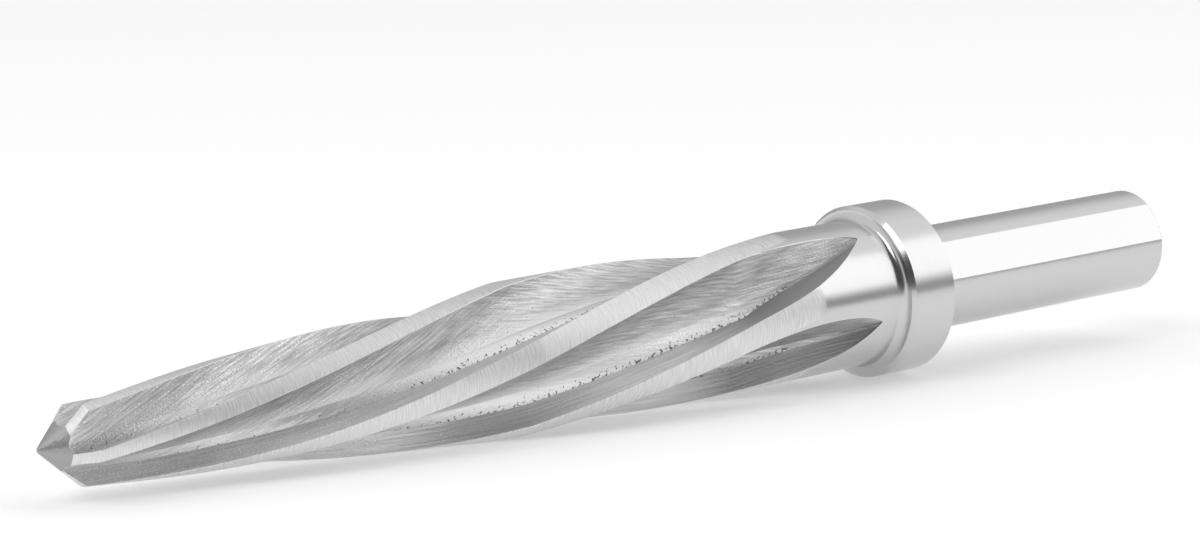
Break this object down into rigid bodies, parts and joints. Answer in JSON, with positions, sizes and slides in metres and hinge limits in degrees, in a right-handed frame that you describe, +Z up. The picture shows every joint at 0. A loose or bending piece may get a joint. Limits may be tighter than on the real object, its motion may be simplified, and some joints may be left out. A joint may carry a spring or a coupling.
{
  "type": "construction reamer",
  "caption": "Tapered steel reamer with left-hand spiral flutes, a conical point, a stop collar and a straight shank with chuck flats.",
  "frame": {"origin": "on the table, under the middle of the lying tool", "axes": "+X along the tool from its point to its shank, +Z up, the axis rising a little towards the shank"},
  "size_m": [0.1594, 0.0208, 0.021],
  "materials": {
    "ground_steel": "bright ground and milled steel"
  },
  "bodies": {
    "root": {"reamer": "ground_steel"}
  },
  "joints": []
}
